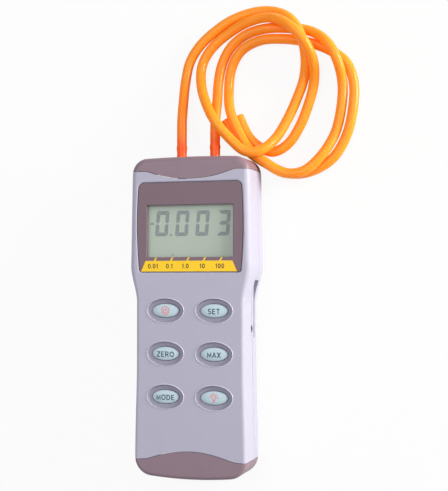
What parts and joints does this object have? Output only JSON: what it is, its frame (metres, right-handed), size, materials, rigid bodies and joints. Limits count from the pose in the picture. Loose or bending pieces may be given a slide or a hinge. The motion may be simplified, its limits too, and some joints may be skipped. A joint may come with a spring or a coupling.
{
  "type": "digital differential manometer",
  "caption": "Handheld digital differential pressure meter with a display, oval push keys and two rubber hoses on its ports.",
  "frame": {"origin": "under the middle of the meter without its hoses, on the surface it lies on", "axes": "+Y along the meter towards the hose ports, +Z out of the display, +X to the meter's right"},
  "size_m": [0.1279, 0.2704, 0.03],
  "materials": {
    "case_plastic": "fine matt, lilac-grey",
    "cap_plastic": "fine matt, mauve-grey",
    "bezel_plastic": "satin, dark mauve",
    "clear_acrylic": "clear pane",
    "display_glass": "grey-green display",
    "strip_yellow": "printed yellow inlay",
    "key_rubber": "pale aqua, satin",
    "black_rubber": "matt black",
    "board_green": "green lacquer",
    "white_diffuser": "milky white",
    "black_plastic": "matt black",
    "brass": "turned",
    "steel": "plated",
    "battery_wrap": "dark wrapper",
    "clear_silicone": "translucent",
    "hose_orange": "glossy orange"
  },
  "bodies": {
    "meter": {"front_case": "case_plastic", "rear_case": "case_plastic", "battery_door": "case_plastic", "top_end_cap": "cap_plastic", "bottom_end_cap": "cap_plastic", "display_bezel": "bezel_plastic", "display_lens": "clear_acrylic", "lcd_panel": "display_glass", "unit_strip": "strip_yellow", "upper_contact_strip": "black_rubber", "lower_contact_strip": "black_rubber", "keypad_sheet": "black_rubber", "main_board": "board_green", "backlight_panel": "white_diffuser", "buzzer": "black_plastic", "pressure_sensor": "black_plastic", "data_socket": "black_plastic", "power_socket": "black_plastic", "battery_snap": "black_plastic", "left_port_barb": "brass", "right_port_barb": "brass", "case_screw_1": "steel", "case_screw_2": "steel", "case_screw_3": "steel", "case_screw_4": "steel", "board_screw_1": "steel", "board_screw_2": "steel", "battery_door_screw": "steel", "battery": "battery_wrap", "left_sensor_tube": "clear_silicone", "right_sensor_tube": "clear_silicone", "left_hose": "hose_orange", "right_hose": "hose_orange"},
    "body_key_power": {"key_power": "key_rubber"},
    "body_key_record": {"key_record": "key_rubber"},
    "body_key_hold": {"key_hold": "key_rubber"},
    "body_key_difference": {"key_difference": "key_rubber"},
    "body_key_unit": {"key_unit": "key_rubber"},
    "body_key_light": {"key_light": "key_rubber"}
  },
  "joints": [
    {"name": "key_power_press", "type": "slide", "parent": "meter", "child": "body_key_power", "axis": [0, 0, -1], "range_m": [0, 0.001], "stiffness_N_per_m": 300},
    {"name": "key_record_press", "type": "slide", "parent": "meter", "child": "body_key_record", "axis": [0, 0, -1], "range_m": [0, 0.001], "stiffness_N_per_m": 300},
    {"name": "key_hold_press", "type": "slide", "parent": "meter", "child": "body_key_hold", "axis": [0, 0, -1], "range_m": [0, 0.001], "stiffness_N_per_m": 300},
    {"name": "key_difference_press", "type": "slide", "parent": "meter", "child": "body_key_difference", "axis": [0, 0, -1], "range_m": [0, 0.001], "stiffness_N_per_m": 300},
    {"name": "key_unit_press", "type": "slide", "parent": "meter", "child": "body_key_unit", "axis": [0, 0, -1], "range_m": [0, 0.001], "stiffness_N_per_m": 300},
    {"name": "key_light_press", "type": "slide", "parent": "meter", "child": "body_key_light", "axis": [0, 0, -1], "range_m": [0, 0.001], "stiffness_N_per_m": 300}
  ]
}
